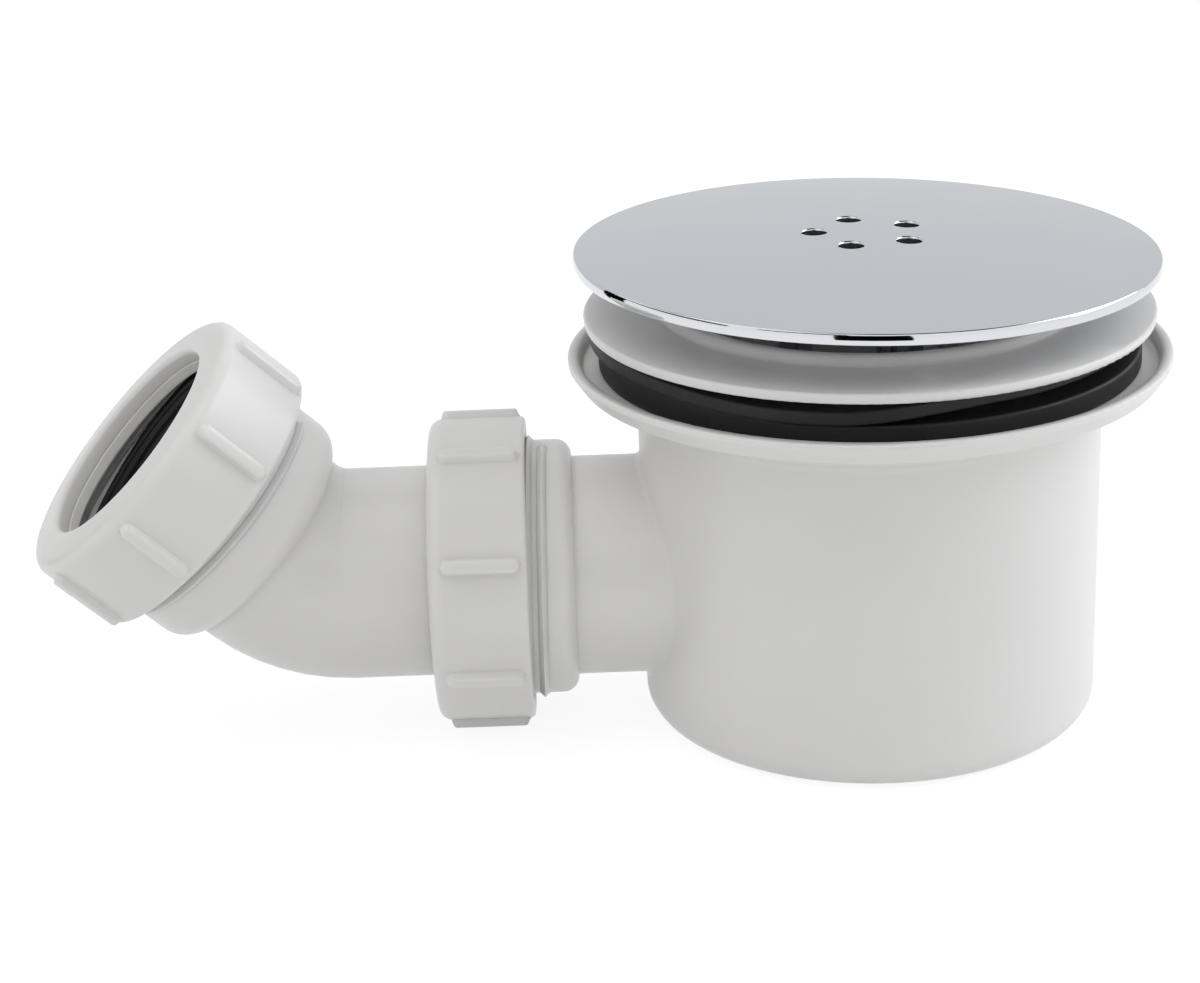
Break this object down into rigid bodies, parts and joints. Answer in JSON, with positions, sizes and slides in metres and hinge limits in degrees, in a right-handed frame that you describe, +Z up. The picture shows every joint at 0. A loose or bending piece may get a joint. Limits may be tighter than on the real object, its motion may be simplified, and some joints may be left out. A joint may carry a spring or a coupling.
{
  "type": "shower trap",
  "caption": "Round shower trap: a cup-shaped body with a low side outlet, a swivelling angled elbow, ribbed compression nuts, rubber clamp seals, a flat waste flange and a polished domed cover.",
  "frame": {"origin": "middle of the trap body's flat base, on the surface it stands on", "axes": "+Z up along the axis of the body, the seals and the cover; -X along the side outlet; -Y towards the side the elbow leans to"},
  "size_m": [0.2276, 0.1192, 0.0994],
  "materials": {
    "white_plastic": "moulded white polypropylene, satin gloss",
    "slip_plastic": "moulded white polyethylene, waxy matt",
    "black_rubber": "moulded black rubber, soft sheen",
    "chrome_plate": "polished chrome plate on a moulded disc"
  },
  "bodies": {
    "trap": {"trap_body": "white_plastic", "lower_seal": "black_rubber", "outlet_seal": "black_rubber"},
    "upper_seal": {"upper_seal": "black_rubber"},
    "flange": {"waste_flange": "white_plastic", "dip_tube": "white_plastic", "dip_tube_seal": "black_rubber", "seal_cup": "white_plastic", "top_cover": "chrome_plate"},
    "outlet_slip": {"outlet_slip_ring": "slip_plastic"},
    "outlet_nut": {"outlet_nut": "white_plastic"},
    "elbow": {"elbow": "white_plastic", "elbow_seal": "black_rubber"},
    "elbow_slip": {"elbow_slip_ring": "slip_plastic"},
    "elbow_nut": {"elbow_nut": "white_plastic"}
  },
  "joints": [
    {"name": "flange_lift", "type": "slide", "parent": "trap", "child": "upper_seal", "axis": [0, 0, 1], "range_m": [0, 0.012]},
    {"name": "flange_turn", "type": "hinge", "parent": "upper_seal", "child": "flange", "pos_m": [0, 0, 0.0778], "axis": [0, 0, 1], "range_deg": [0, 1440]},
    {"name": "outlet_nut_advance", "type": "slide", "parent": "trap", "child": "outlet_slip", "axis": [-1, 0, 0], "range_m": [0, 0.012]},
    {"name": "outlet_nut_turn", "type": "hinge", "parent": "outlet_slip", "child": "outlet_nut", "pos_m": [-0.08, 0, 0.0314], "axis": [-1, 0, 0], "range_deg": [0, 1440]},
    {"name": "elbow_swivel", "type": "hinge", "parent": "trap", "child": "elbow", "pos_m": [-0.0889, 0, 0.0314], "axis": [1, 0, 0], "range_deg": [-95, 74]},
    {"name": "elbow_nut_advance", "type": "slide", "parent": "elbow", "child": "elbow_slip", "axis": [-0.7071, -0.1289, 0.6953], "range_m": [0, 0.012]},
    {"name": "elbow_nut_turn", "type": "hinge", "parent": "elbow_slip", "child": "elbow_nut", "pos_m": [-0.134, -0.00361, 0.05087], "axis": [-0.7071, -0.1289, 0.6953], "range_deg": [0, 1440]}
  ],
  "couplings": [
    {"joint": "flange_lift", "follows": "flange_turn", "m_per_rad": 0.00047746},
    {"joint": "outlet_nut_advance", "follows": "outlet_nut_turn", "m_per_rad": 0.00047746},
    {"joint": "elbow_nut_advance", "follows": "elbow_nut_turn", "m_per_rad": 0.00047746}
  ]
}
